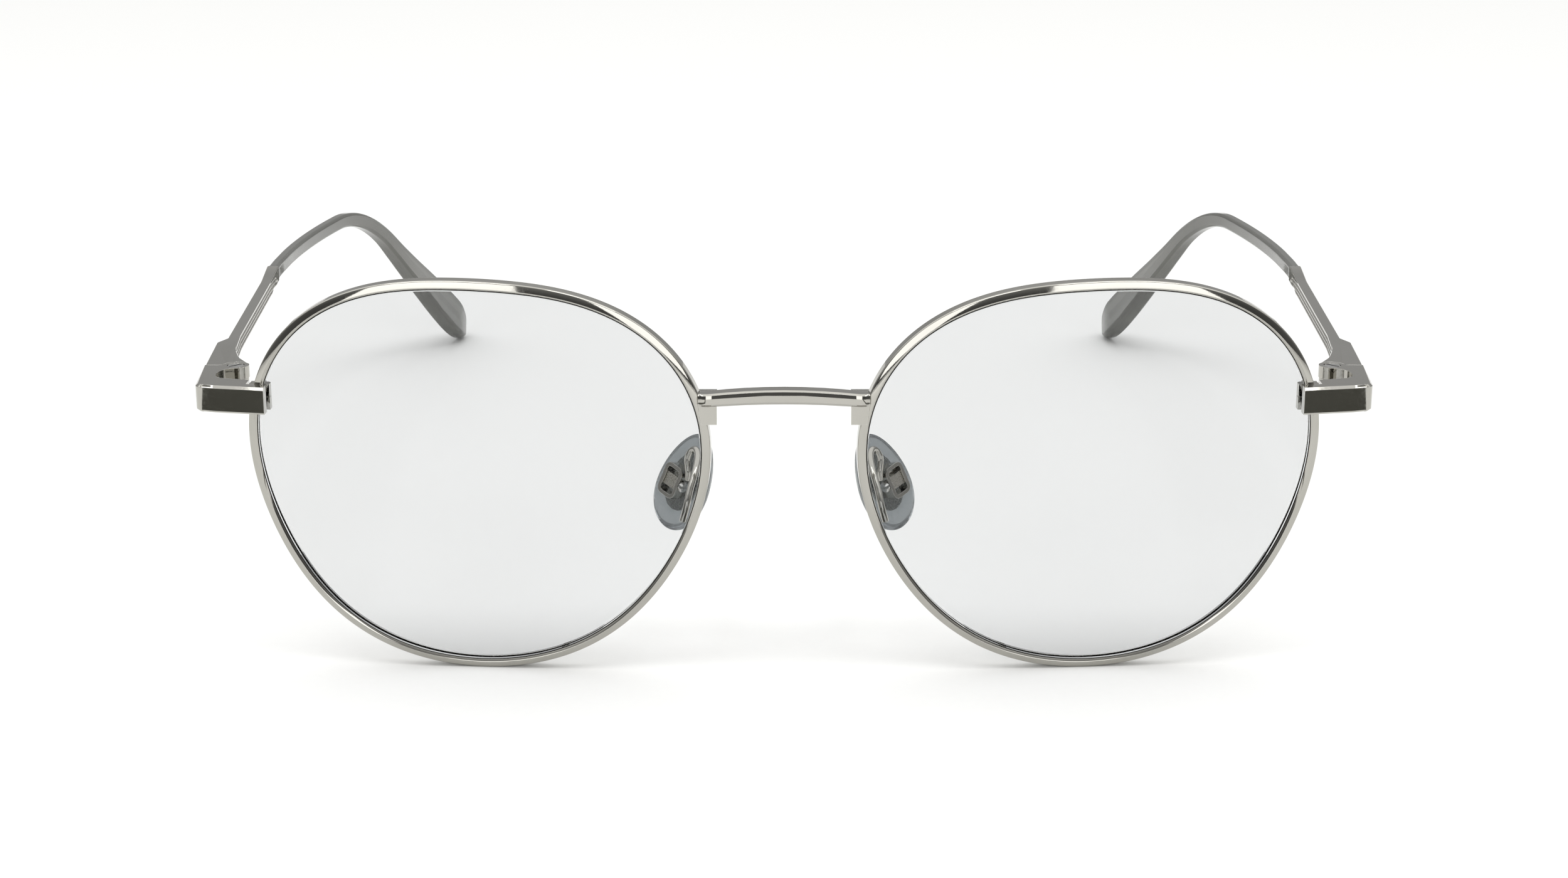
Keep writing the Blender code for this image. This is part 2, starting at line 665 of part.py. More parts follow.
def wire_ring(spot, along, steps):
    """A ring of the wire, kept upright against the X axis so that the loft doesn't twist."""
    along = along.normalized()
    across = along.cross(Vector((1.0, 0.2, 0.0))).normalized()
    other = along.cross(across)
    turns = [2 * math.pi * i / steps for i in range(steps)]
    return [spot + (across * math.cos(a) + other * math.sin(a)) * WIRE_R for a in turns]


# ---------------------------------------------------------------------------
# Assembly


def joint_empty(name, parent, x, y, z):
    empty = bpy.data.objects.new(name, None)
    bpy.context.scene.collection.objects.link(empty)
    empty.parent = parent
    empty.location = Vector((x, y, z)) * MM
    return empty


def main():
    clear_scene()
    silver = finish("polished_silver_plate", (0.70, 0.69, 0.66), 0.12, 1.0)
    clear = finish("clear_lens", (0.92, 0.93, 0.93), 0.05, 0.0, 0.35)
    acetate = finish("smoke_acetate", (0.32, 0.32, 0.29), 0.15, 0.0)
    silicone = finish("clear_silicone", (0.62, 0.65, 0.67), 0.25, 0.0)

    stand = joint_empty("stand", None, 0.0, STAND_Y, STAND_Z)
    stand.rotation_euler = (-math.radians(REST_LEAN), 0.0, 0.0)

    upper, lower = make_closing_blocks(silver)
    fixed = [
        make_lens(clear), make_rim(silver), make_endpiece(silver), upper, lower,
        make_closing_screw(silver), make_hinge_screw(silver), make_pad_arm(silver),
        make_pad_box(silver), make_pad_screw(silver),
    ]
    set_origin(make_bridge(silver), stand)
    for piece in fixed:
        for copy in pair(piece).values():
            set_origin(copy, stand)

    pivot = placed([(BOX_MID, 0.0, 0.0)])[0]
    for piece in (make_temple(silver), make_temple_tip(acetate)):
        for side, copy in pair(piece).items():
            sign = 1 if side == "left" else -1
            set_origin(copy, stand, sign * HINGE_X, HINGE_Y, 0.0)
    for piece in (make_nose_pad(silicone), make_pad_insert(silver)):
        for side, copy in pair(piece).items():
            sign = 1 if side == "left" else -1
            set_origin(copy, stand, sign * pivot.x, pivot.y, pivot.z)


main()
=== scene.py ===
"""Round wire eyeglasses standing open on a pale table, seen from the front and a little above."""

import math

import bmesh
import bpy
from mathutils import Matrix, Vector


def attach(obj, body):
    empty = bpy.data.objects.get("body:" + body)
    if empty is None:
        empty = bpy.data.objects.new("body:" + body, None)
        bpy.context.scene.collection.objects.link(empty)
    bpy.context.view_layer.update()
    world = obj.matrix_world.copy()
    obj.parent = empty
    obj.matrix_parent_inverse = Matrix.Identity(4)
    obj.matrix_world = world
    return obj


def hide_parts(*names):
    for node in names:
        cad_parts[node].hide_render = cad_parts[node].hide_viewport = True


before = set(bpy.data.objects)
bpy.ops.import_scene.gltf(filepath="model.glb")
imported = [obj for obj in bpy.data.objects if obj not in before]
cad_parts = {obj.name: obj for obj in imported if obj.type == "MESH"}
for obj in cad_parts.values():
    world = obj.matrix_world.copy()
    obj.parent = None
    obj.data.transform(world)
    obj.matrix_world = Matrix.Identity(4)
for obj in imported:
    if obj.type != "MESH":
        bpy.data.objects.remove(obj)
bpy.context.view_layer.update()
scene = bpy.context.scene

# --- Camera --------------------------------------------------------------------------------------
# A 59 mm lens a third of a metre in front of the frame, looking down at the bridge. The plain
# Standard view keeps white paper white.

camera = bpy.data.objects.new("camera", bpy.data.cameras.new("camera"))
camera.location = (0.0, -0.35405, 0.12082)
camera.rotation_euler = (math.radians(71.919), 0.0, 0.0)
camera.data.lens = 58.709
camera.data.sensor_width = 36.0
camera.data.clip_start = 0.01
scene.collection.objects.link(camera)
scene.camera = camera
scene.view_settings.view_transform = "Standard"

# --- Studio --------------------------------------------------------------------------------------
# A wide floor of matt white paper under a pale ceiling, with dim walls round it. Softboxes
# overhead light the bevels, and upright ones at the front corners light the rims. A charcoal
# card on either side is seen only in reflections, and darkens the fronts of the endpieces.

WALL_LIGHT, CEILING_LIGHT = 0.42, 1.44  # brightness near the horizon and overhead
WALL_TOP, CEILING_EDGE = 0.22, 0.75  # sine of the elevation where one turns into the other
FRONT_DIM = 0.22  # share of the room's light that is left behind the camera
SOFTBOXES = (  # place of the one on the left, way its back faces, width, height, brightness
    ((0.33, -0.34, 1.10), (0.0, 0.0, 1.0), 0.50, 0.36, 3.2),
    ((0.36, -0.90, 0.36), (0.216, -0.90, 0.36), 0.44, 0.60, 2.2),
)
FLOOR_HALF = 60.0  # metres; the walls still show above its edge when seen from low down
CARD_X, CARD_Y, CARD_HEIGHT = (0.125, 0.176), (-0.29, -0.150), 0.0015


def tone(code):
    """Linear RGBA of an sRGB hex colour."""
    channels = [int(code[i:i + 2], 16) / 255 for i in (0, 2, 4)]
    return (*[c / 12.92 if c <= 0.04045 else ((c + 0.055) / 1.055) ** 2.4 for c in channels], 1.0)


def add(tree, kind, settings=None, links=None):
    """A new node, with settings by input or attribute name and links as {input: (node, output)}."""
    made = tree.nodes.new(kind)
    for name, value in (settings or {}).items():
        if isinstance(name, int) or name in made.inputs:
            made.inputs[name].default_value = value
        else:
            setattr(made, name, value)
    for name, (source, output) in (links or {}).items():
        tree.links.new(source.outputs[output], made.inputs[name])
    return made


def finish_of(name, **sockets):
    """A material named for its finish, its node tree and its shader with even values set."""
    finish = bpy.data.materials.new(name)
    finish.use_nodes = True
    shader = finish.node_tree.nodes["Principled BSDF"]
    for socket, value in sockets.items():
        shader.inputs[socket.replace("_", " ")].default_value = value
    return finish, finish.node_tree, shader


def laid_sheet(name, left, right, near, far, height, finish):
    """A level sheet of the studio, apart from the pair."""
    sheet = bpy.data.meshes.new(name)
    sheet.from_pydata([(left, near, height), (right, near, height), (right, far, height),
                       (left, far, height)], [], [(0, 1, 2, 3)])
    sheet.materials.append(finish)
    laid = bpy.data.objects.new(name, sheet)
    scene.collection.objects.link(laid)
    return laid


paper, tree, shader = finish_of("matt_white_paper", Roughness=0.9, Specular_IOR_Level=0.1)
where = add(tree, "ShaderNodeTexCoord")
pulp = add(tree, "ShaderNodeTexNoise", {"Scale": 900.0, "Detail": 2.0},
           {"Vector": (where, "Object")})
blend = add(tree, "ShaderNodeMix", {"data_type": "RGBA", 6: tone("F6F6F5"), 7: tone("F4F4F3")},
            {0: (pulp, 0)})
tree.links.new(blend.outputs[2], shader.inputs["Base Color"])
laid_sheet("floor", -FLOOR_HALF, FLOOR_HALF, -FLOOR_HALF, FLOOR_HALF, 0.0, paper)

card, tree, shader = finish_of("charcoal_card", Roughness=0.9, Specular_IOR_Level=0.1)
shader.inputs["Base Color"].default_value = tone("4A4A45")
for side in (1, -1):
    left, right = sorted(side * x for x in CARD_X)
    flag = laid_sheet("card", left, right, *CARD_Y, CARD_HEIGHT, card)
    flag.visible_camera = flag.visible_diffuse = flag.visible_shadow = False
    flag.visible_transmission = False
    for (x, y, z), (aim_x, aim_y, aim_z), width, height, cloth in SOFTBOXES:
        box = bpy.data.objects.new("softbox", bpy.data.lights.new("softbox", "AREA"))
        box.data.shape = "RECTANGLE"
        box.data.size, box.data.size_y = width, height
        box.data.energy = cloth * math.pi * width * height
        box.location = (side * x, y, z)
        facing = Vector((side * aim_x, aim_y, aim_z))
        box.rotation_euler = facing.to_track_quat("Z", "Y").to_euler()
        box.visible_camera = False
        scene.collection.objects.link(box)

world = bpy.data.worlds.new("studio")
scene.world = world
world.use_nodes = True
tree = world.node_tree
where = add(tree, "ShaderNodeTexCoord")
split = add(tree, "ShaderNodeSeparateXYZ", {}, {"Vector": (where, "Generated")})
lift = add(tree, "ShaderNodeMapRange", {
    "interpolation_type": "SMOOTHSTEP", "From Min": WALL_TOP, "From Max": CEILING_EDGE,
    "To Min": WALL_LIGHT, "To Max": CEILING_LIGHT}, {"Value": (split, "Z")})
tree.nodes["Background"].inputs["Color"].default_value = tone("FFFFFE")
front = add(tree, "ShaderNodeMapRange", {
    "interpolation_type": "SMOOTHSTEP", "From Min": -0.75, "From Max": 0.10,
    "To Min": FRONT_DIM, "To Max": 1.0}, {"Value": (split, "Y")})
light = add(tree, "ShaderNodeMath", {"operation": "MULTIPLY"}, {0: (lift, 0), 1: (front, 0)})
tree.links.new(light.outputs[0], tree.nodes["Background"].inputs["Strength"])

# --- Rims ----------------------------------------------------------------------------------------
# Each rim is one length of profiled nickel-silver eyewire, rolled round the lens, cut at the temple
# side and silver plated. A V groove inside holds the lens; the front is faceted to a crest.

MM = 0.001
REST_LEAN = math.radians(2.581)  # the open pair leans back, so that rims and tips both rest
STAND = Vector((0.0, -0.061634, 0.034565))
LENS_CENTRE = Vector((35.7, -11.3, -10.25))
FACE_FORM, PANTO, BASE_CURVE = math.radians(3.5), math.radians(4.0), 175.0
RIM_RADIUS = 25.65
RIM_HARMONICS = {2: (1.40, 0.17), 3: (-0.20, 1.04), 4: (-0.30, 0.0), 5: (-0.06, 0.12)}
RIM_SPLIT = math.radians(18.5)  # above the temple side, where the closing blocks meet
RIM_GAP = 0.05
EYEWIRE = [  # section of the wire: inward from its outer edge, depth behind its middle
    (0.0, -0.66), (0.08, -0.78), (0.80, -0.97), (1.15, -0.62), (1.15, -0.42), (0.70, 0.0),
    (1.15, 0.42), (1.15, 0.80), (1.00, 0.95), (0.20, 0.95), (0.0, 0.70),
]
RIM_STEPS = 240
SIDES = (("left", 1), ("right", -1))


def seat(points, side):
    """Points in the front's own millimetres, taken to where the pair stands, for one side."""
    turn = Matrix.Rotation(-REST_LEAN, 3, "X")
    return [turn @ (Vector((side * p[0], p[1], p[2])) * MM) + STAND for p in points]


def lens_point(angle, radius, depth):
    """A point at polar angle and radius in the left lens plane, depth behind the base curve."""
    tip = Matrix.Rotation(PANTO, 3, "X")
    out = tip @ Vector((math.cos(FACE_FORM), math.sin(FACE_FORM), 0.0))
    back = tip @ Vector((-math.sin(FACE_FORM), math.cos(FACE_FORM), 0.0))
    flat = out * math.cos(angle) + tip @ Vector((0.0, 0.0, math.sin(angle)))
    return LENS_CENTRE + flat * radius + back * (depth + radius * radius / (2 * BASE_CURVE))


def rim_radius(angle):
    """Outer edge of the rim at a polar angle: a round, widened and flattened at the brow."""
    return RIM_RADIUS + sum(
        c * math.cos(n * angle) + s * math.sin(n * angle) for n, (c, s) in RIM_HARMONICS.items()
    )


def joined(rings):
    """Points and faces between rings of equal length, with a cap at either end."""
    size, points = len(rings[0]), [p for ring in rings for p in ring]
    faces = []
    for a in range(0, len(points) - size, size):
        b = a + size
        faces += [(a + j, a + (j + 1) % size, b + (j + 1) % size, b + j) for j in range(size)]
    faces += [tuple(range(size)), tuple(range(len(points) - size, len(points)))]
    return points, faces


def closed_mesh(name, points, faces):
    """An object made of points and faces, with its faces turned outward."""
    shape = bmesh.new()
    corners = [shape.verts.new(p) for p in points]
    for face in faces:
        shape.faces.new([corners[i] for i in face])
    bmesh.ops.recalc_face_normals(shape, faces=shape.faces)
    mesh = bpy.data.meshes.new(name)
    shape.to_mesh(mesh)
    shape.free()
    made = bpy.data.objects.new(name, mesh)
    scene.collection.objects.link(made)
    return made


def fitted(piece, finish, body, node):
    """Gives a piece its finish and sets it on its body in place of its CAD solid."""
    piece.data.materials.clear()
    piece.data.materials.append(finish)
    piece.data.shade_smooth()
    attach(piece, body)
    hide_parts(node)


CORNER = math.radians(24.0)  # a sharper turn than this is a corner


def true_flats(piece):
    """Keeps machined flats flat and corners crisp, while round stretches stay smooth."""
    piece.data.set_sharp_from_angle(angle=CORNER)
    piece.modifiers.new("flats", "WEIGHTED_NORMAL").keep_sharp = True


def broken_edges(piece, width):
    """Rounds the corners by a width in millimetres and keeps the flats between them flat."""
    soften = piece.modifiers.new("edges", "BEVEL")
    soften.width, soften.segments = width * MM, 3
    soften.limit_method, soften.angle_limit = "ANGLE", CORNER
    piece.modifiers.new("flats", "WEIGHTED_NORMAL")


# Silver plate, buffed: a slightly warm mirror, drawn greyer than real silver so that level faces
# read mid grey. Its tone drifts over 6 mm and buffing haze changes the gloss over 0.3 mm (the real
# haze is finer). Corners are rounded by 0.05 mm from tumbling; a lighter tone there is partly rub
# wear, partly a painted edge highlight.
silver, tree, shader = finish_of("silver_plate_buffed", Metallic=1.0)
where = add(tree, "ShaderNodeTexCoord")
drift = add(tree, "ShaderNodeTexNoise", {"Scale": 170.0, "Detail": 2.0},
            {"Vector": (where, "Object")})
body_tone = add(tree, "ShaderNodeMix", {"data_type": "RGBA", 6: tone("B6B4AE"), 7: tone("ABA9A2")},
                {0: (drift, 0)})
haze = add(tree, "ShaderNodeTexNoise", {"Scale": 3300.0, "Detail": 3.0},
           {"Vector": (where, "Object")})
gloss = add(tree, "ShaderNodeMapRange", {"From Min": 0.3, "From Max": 0.7, "To Min": 0.03,
                                         "To Max": 0.08}, {"Value": (haze, 0)})
tumbled = add(tree, "ShaderNodeBevel", {"samples": 6, "Radius": 0.00005})
form = add(tree, "ShaderNodeNewGeometry")
flatness = add(tree, "ShaderNodeVectorMath", {"operation": "DOT_PRODUCT"},
               {0: (tumbled, 0), 1: (form, "Normal")})
# A lighter tone is painted where the rounded corners turn: partly rub wear, partly a painted edge
# highlight.
rub_and_painted_highlight = add(tree, "ShaderNodeMapRange", {"From Min": 0.99, "From Max": 0.90}, {
    "Value": (flatness, 1)})
rubbed_and_highlit_tone = add(tree, "ShaderNodeMix", {"data_type": "RGBA", 7: tone("CECCC6")},
                {0: (rub_and_painted_highlight, 0), 6: (body_tone, 2)})
ripple = add(tree, "ShaderNodeBump", {"Strength": 0.03, "Distance": 0.00001},
             {"Height": (haze, 0), "Normal": (tumbled, 0)})
tree.links.new(rubbed_and_highlit_tone.outputs[2], shader.inputs["Base Color"])
tree.links.new(gloss.outputs[0], shader.inputs["Roughness"])
tree.links.new(ripple.outputs[0], shader.inputs["Normal"])

for hand, side in SIDES:
    rings = []
    gap_turn = RIM_GAP / RIM_RADIUS
    for i in range(RIM_STEPS + 1):
        angle = RIM_SPLIT + gap_turn + (2 * math.pi - 2 * gap_turn) * i / RIM_STEPS
        outer = rim_radius(angle)
        rings.append(seat([lens_point(angle, outer - inward, depth) for inward, depth in EYEWIRE],
                          side))
    rim = closed_mesh(f"eyewire_{hand}", *joined(rings))
    broken_edges(rim, 0.07)
    fitted(rim, silver, "front", f"rim_{hand}")

# --- Lenses --------------------------------------------------------------------------------------
# A lens is 1.5 mm of cast clear resin, ground to a meniscus and edged with a V bevel that snaps
# into the rim's groove.

LENS_EDGE, LENS_BEVEL, LENS_HALF_THICK = 1.20, 0.34, 0.75
BEVEL_FOOT = 0.36  # half the bevel's width where it leaves the edge
LENS_STEPS, LENS_RINGS = 160, 9

# Cast resin, polished and coated against reflections: clear with a faint grey cast. The coat leaves
# little mirror gloss, so its index is drawn low. The gloss barely changes, over 3 mm.
resin, tree, shader = finish_of("clear_cast_resin_polished", IOR=1.16, Transmission_Weight=1.0)
where = add(tree, "ShaderNodeTexCoord")
cast = add(tree, "ShaderNodeTexNoise", {"Scale": 60.0, "Detail": 1.0},
           {"Vector": (where, "Object")})
cast_tone = add(tree, "ShaderNodeMix", {"data_type": "RGBA", 6: tone("E4E5E6"), 7: tone("E1E2E3")},
                {0: (cast, 0)})
wiped = add(tree, "ShaderNodeTexNoise", {"Scale": 330.0, "Detail": 2.0},
            {"Vector": (where, "Object")})
gloss = add(tree, "ShaderNodeMapRange", {"To Min": 0.0, "To Max": 0.02}, {"Value": (wiped, 0)})
tree.links.new(cast_tone.outputs[2], shader.inputs["Base Color"])
tree.links.new(gloss.outputs[0], shader.inputs["Roughness"])

for hand, side in SIDES:
    turns = [RIM_SPLIT + 2 * math.pi * i / LENS_STEPS for i in range(LENS_STEPS)]
    shares = [(k + 1) / LENS_RINGS for k in range(LENS_RINGS)]
    course = [(share, -LENS_HALF_THICK, 0.0) for share in shares]
    course += [(1.0, -BEVEL_FOOT, 0.0), (1.0, 0.0, LENS_BEVEL), (1.0, BEVEL_FOOT, 0.0)]
    course += [(share, LENS_HALF_THICK, 0.0) for share in reversed(shares)]
    rings = [
        seat([lens_point(a, (rim_radius(a) - LENS_EDGE) * share + bevel, depth) for a in turns],
             side)
        for share, depth, bevel in course
    ]
    points, faces = joined(rings)
    faces = faces[:-2]
    for start, depth in ((0, -LENS_HALF_THICK), (len(points) - LENS_STEPS, LENS_HALF_THICK)):
        points += seat([lens_point(0.0, 0.0, depth)], side)
        faces += [(start + j, start + (j + 1) % LENS_STEPS, len(points) - 1)
                  for j in range(LENS_STEPS)]
    lens = closed_mesh(f"clear_lens_{hand}", points, faces)
    fitted(lens, resin, "front", f"lens_{hand}")
    lens.data.set_sharp_from_angle(angle=math.radians(30.0))

# --- Bridge --------------------------------------------------------------------------------------
# One stamped bar of nickel silver, arched a little, with bevelled front edges. The small blocks
# behind its ends are brazed to the rims, and the whole front is plated together.


def stamped(node, finish, body):
    """A metal part on its CAD solid's own shape, with its flats made true again."""
    shape = bmesh.new()
    shape.from_mesh(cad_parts[node].data)
    bmesh.ops.remove_doubles(shape, verts=shape.verts, dist=0.004 * MM)
    bmesh.ops.dissolve_limit(shape, angle_limit=math.radians(1.0), verts=shape.verts,
                             edges=shape.edges)
    mesh = bpy.data.meshes.new(node)
    shape.to_mesh(mesh)
    shape.free()
    part = bpy.data.objects.new(f"{node}_finished", mesh)
    scene.collection.objects.link(part)
    fitted(part, finish, body, node)
    true_flats(part)
    return part


stamped("bridge", silver, "front")

# --- Endpieces and closing blocks ----------------------------------------------------------------
# Each endpiece is a milled corner hooked round the hinge, bevelled along its front and brazed to
# the rim. Two closing blocks behind it clamp the rim's cut ends.

for hand, _ in SIDES:
    stamped(f"endpiece_{hand}", silver, "front")
    stamped(f"closing_block_upper_{hand}", silver, "front")
    stamped(f"closing_block_lower_{hand}", silver, "front")

# --- Screws --------------------------------------------------------------------------------------
# The hinge screw drops in from above, flush with the endpiece; the closing screw comes up from
# below. Both are turned from stainless bar and slotted.

# Stainless steel, turned: a cooler and duller grey than the plate, with tool marks 0.24 mm apart
# that are drawn as almost straight bands (the real ones are finer, and run in rings).
turned, tree, shader = finish_of("stainless_steel_turned", Metallic=1.0)
where = add(tree, "ShaderNodeTexCoord")
stain = add(tree, "ShaderNodeTexNoise", {"Scale": 900.0, "Detail": 3.0},
            {"Vector": (where, "Object")})
steel_tone = add(tree, "ShaderNodeMix", {"data_type": "RGBA", 6: tone("C9C9C7"), 7: tone("B4B4B1")},
                 {0: (stain, 0)})
passes = add(tree, "ShaderNodeTexWave", {"wave_type": "RINGS", "rings_direction": "Z",
                                         "Scale": 1300.0, "Distortion": 0.4},
             {"Vector": (where, "Object")})
gloss = add(tree, "ShaderNodeMapRange", {"To Min": 0.14, "To Max": 0.26}, {"Value": (stain, 0)})
tooling = add(tree, "ShaderNodeBump", {"Strength": 0.08, "Distance": 0.00002},
              {"Height": (passes, 1)})
tree.links.new(steel_tone.outputs[2], shader.inputs["Base Color"])
tree.links.new(gloss.outputs[0], shader.inputs["Roughness"])
tree.links.new(tooling.outputs[0], shader.inputs["Normal"])

for hand, _ in SIDES:
    stamped(f"hinge_screw_{hand}", turned, "front")
    stamped(f"closing_screw_{hand}", turned, "front")

# --- Temples -------------------------------------------------------------------------------------
# Each temple is one forging: a root that wraps the knuckle, a slim bar with three grooves rolled
# along its inner face, and a flat core that runs on inside the plastic tip.

OUTER_FACE = [  # length along the temple, distance out from the pair's middle
    (0.26, 69.05), (11.9, 70.15), (14.2, 69.3), (52.0, 72.15),
]
TEMPLE_CURL, CURL_RADIUS, CURL_SLOPE = 52.0, 171.0, 0.0655  # where the bar starts to curl in
TEMPLE_WIDEST = 72.49  # half the pair's width, which the curl doesn't pass
INNER_FLARE = [
    (0.31, 64.6), (1.2, 64.25), (1.75, 64.4), (3.75, 65.55), (6.0, 66.4), (8.6, 67.03),
    (10.6, 67.4), (14.0, 67.82), (16.4, 68.12),
]
BAR_START, BAR_END, SLEEVE_START = 16.4, 48.0, 54.9
BAR_THICK, SLEEVE_THICK = 1.35, 1.6
GROOVES = [(-0.56, 9.6, 52.9), (-1.10, 8.8, 54.1), (-1.64, 8.0, 52.9)]  # height, start, end
GROOVE_RADIUS, GROOVE_LEAD = 0.22, 2.2
GROOVE_STEPS, GROOVE_SIDES = 60, 24


def read(table, at):
    """Straight-line reading of a table of (place, value) pairs."""
    for (a, low), (b, high) in zip(table, table[1:]):
        if at <= b:
            return low + (high - low) * max(0.0, at - a) / (b - a)
    return table[-1][1]


def outer_face(y):
    """How far out the temple's outer face lies at length y."""
    if y <= TEMPLE_CURL:
        return read(OUTER_FACE, y)
    run = y - TEMPLE_CURL
    curl = OUTER_FACE[-1][1] + CURL_SLOPE * run - run * run / (2 * CURL_RADIUS)
    return min(curl, TEMPLE_WIDEST)


def inner_face(y):
    """How far out the metal's inner face lies at length y."""
    if y < BAR_START:
        return read(INNER_FLARE, y)
    return outer_face(y) - read([(BAR_END, BAR_THICK), (SLEEVE_START, SLEEVE_THICK)], y)


def groove_cutter(side, height, start, end):
    """A round bar laid on the inner face, which lifts out of the metal at both of its ends."""
    rings = []
    turns = [2 * math.pi * k / GROOVE_SIDES for k in range(GROOVE_SIDES)]
    for i in range(GROOVE_STEPS + 1):
        y = start + (end - start) * i / GROOVE_STEPS
        sunk = min((y - start) / GROOVE_LEAD, (end - y) / (GROOVE_LEAD / 2), 1.0)
        lift = GROOVE_RADIUS * 1.05 * (1 - math.sin(max(sunk, 0.0) * math.pi / 2))
        middle = inner_face(y) - lift
        rings.append(seat([(middle + GROOVE_RADIUS * math.cos(t), y,
                            height + GROOVE_RADIUS * math.sin(t)) for t in turns], side))
    return closed_mesh("groove", *joined(rings))


for hand, side in SIDES:
    temple = stamped(f"temple_{hand}", silver, f"temple_{hand}")
    temple.modifiers.clear()
    cutters = [groove_cutter(side, *groove) for groove in GROOVES]
    for cutter in cutters:
        carve = temple.modifiers.new("groove", "BOOLEAN")
        carve.operation, carve.object = "DIFFERENCE", cutter
    graph = bpy.context.evaluated_depsgraph_get()
    temple.data = bpy.data.meshes.new_from_object(temple.evaluated_get(graph))
    temple.modifiers.clear()
    for cutter in cutters:
        bpy.data.objects.remove(cutter)
    temple.data.shade_smooth()
    true_flats(temple)

# --- Temple tips ---------------------------------------------------------------------------------
# Each tip is a sleeve of smoke grey cellulose acetate, pressed hot over the core, bent to go
# behind the ear and tumbled smooth. It widens to a bevelled paddle, twisted to lie on the head.

TIP_START, TIP_END = 55.3, 146.2
TIP_CENTRE_Z = -0.35
BEND_Y, BEND_RADIUS, BEND_ANGLE = 93.5, 30.0, math.radians(40.0)
TWIST_START, TWIST_END, TWIST = 104.0, 132.0, math.radians(17.0)
TIP_HEIGHT = [  # length along the temple, height of the section
    (TIP_START, 2.1), (95.0, 2.1), (105.0, 2.3), (112.0, 2.6), (118.0, 3.1), (124.0, 4.0),
    (130.0, 5.1), (135.0, 5.9), (139.0, 6.2), (142.2, 5.9), (144.3, 4.7), (145.6, 3.1),
    (TIP_END, 1.4),
]
TIP_THICK = [
    (TIP_START, 1.6), (95.0, 1.75), (105.0, 2.0), (118.0, 2.4), (130.0, 2.7), (142.0, 2.8),
    (145.6, 2.0), (TIP_END, 1.3),
]
TIP_BEVEL = 0.35
TIP_STEPS = 110


def tip_line(s):
    """Middle of the temple at length s, seen from the side: (y, z, slope angle)."""
    turn = max(0.0, min((s - BEND_Y) / (BEND_RADIUS * BEND_ANGLE), 1.0)) * BEND_ANGLE
    rest = max(s - BEND_Y - BEND_RADIUS * BEND_ANGLE, 0.0)
    y = min(s, BEND_Y) + BEND_RADIUS * math.sin(turn) + rest * math.cos(turn)
    return y, TIP_CENTRE_Z - BEND_RADIUS * (1 - math.cos(turn)) - rest * math.sin(turn), turn


def tip_ring(s):
    """The bevelled section of the tip at length s."""
    ease = max(0.0, min(1.0, TIP_END - s, s - TIP_START))
    near = [s + ease * k / 2 for k in (-2, -1, 0, 1, 2)]
    thick = sum(read(TIP_THICK, n) for n in near) / len(near)
    half = sum(read(TIP_HEIGHT, n) for n in near) / len(near) / 2
    cut = min(TIP_BEVEL, thick * 0.4, half * 0.8)
    y, z, turn = tip_line(s)
    slope = (outer_face(y + 0.5) - outer_face(y - 0.5)) * math.cos(turn)
    along = Vector((slope, math.cos(turn), -math.sin(turn))).normalized()
    level = Vector((along.y, -along.x, 0.0)).normalized()
    share = max(0.0, min((s - TWIST_START) / (TWIST_END - TWIST_START), 1.0))
    across = Matrix.Rotation(TWIST * share * share * (3 - 2 * share), 3, along) @ level
    up = across.cross(along)
    outside = Vector((outer_face(y), y, z))
    corners = [(0.0, half - cut), (cut, half), (thick - cut, half), (thick, half - cut),
               (thick, cut - half), (thick - cut, -half), (cut, -half), (0.0, cut - half)]
    return [outside - across * inward + up * high for inward, high in corners]


# Cellulose acetate, tumbled: a smoky, see-through grey with a soft wet gloss. Its dye clouds over
# 5 mm, and fine rubbing dulls the gloss in patches of 1 mm.
acetate, tree, shader = finish_of("smoke_cellulose_acetate_tumbled", IOR=1.48,
                                  Transmission_Weight=0.5, Coat_Weight=0.15, Coat_Roughness=0.08)
where = add(tree, "ShaderNodeTexCoord")
dye = add(tree, "ShaderNodeTexNoise", {"Scale": 200.0, "Detail": 3.0},
          {"Vector": (where, "Object")})
dye_tone = add(tree, "ShaderNodeMix", {"data_type": "RGBA", 6: tone("80807A"), 7: tone("6E6E69")},
               {0: (dye, 0)})
rub = add(tree, "ShaderNodeTexNoise", {"Scale": 1000.0, "Detail": 2.0},
          {"Vector": (where, "Object")})
gloss = add(tree, "ShaderNodeMapRange", {"To Min": 0.05, "To Max": 0.13}, {"Value": (rub, 0)})
skin = add(tree, "ShaderNodeBump", {"Strength": 0.05, "Distance": 0.00005}, {"Height": (rub, 0)})
tree.links.new(dye_tone.outputs[2], shader.inputs["Base Color"])
tree.links.new(gloss.outputs[0], shader.inputs["Roughness"])
tree.links.new(skin.outputs[0], shader.inputs["Normal"])

for hand, side in SIDES:
    rings = [seat(tip_ring(TIP_START + (TIP_END - TIP_START) * i / TIP_STEPS), side)
             for i in range(TIP_STEPS + 1)]
    tip = closed_mesh(f"acetate_tip_{hand}", *joined(rings))
    broken_edges(tip, 0.14)
    fitted(tip, acetate, f"temple_{hand}", f"temple_tip_{hand}")

# --- Pad arms ------------------------------------------------------------------------------------
# Each arm is 0.8 mm nickel-silver wire, bent into a hairpin: its foot is brazed behind the rim and
# its other end to the pad's box. It is plated with the front.

WIRE_RADIUS = 0.4
PAD_CENTRE = Vector((11.87, 0.1, -14.35))
PAD_SPLAY, PAD_LEAN = math.radians(45.0), math.radians(22.0)
BOX_WIDE, BOX_MID, BOX_GAP = 1.5, 2.05, 0.05
WIRE_SIDES, WIRE_STEPS = 18, 8


def pad_points(points):
    """From pad axes (out to the box, width to the rear, up) to the front's frame."""
    turned_in = Matrix.Rotation(-PAD_LEAN, 3, "Y") @ Matrix.Rotation(-PAD_SPLAY, 3, "Z")
    return [PAD_CENTRE + turned_in @ Vector(p) for p in points]


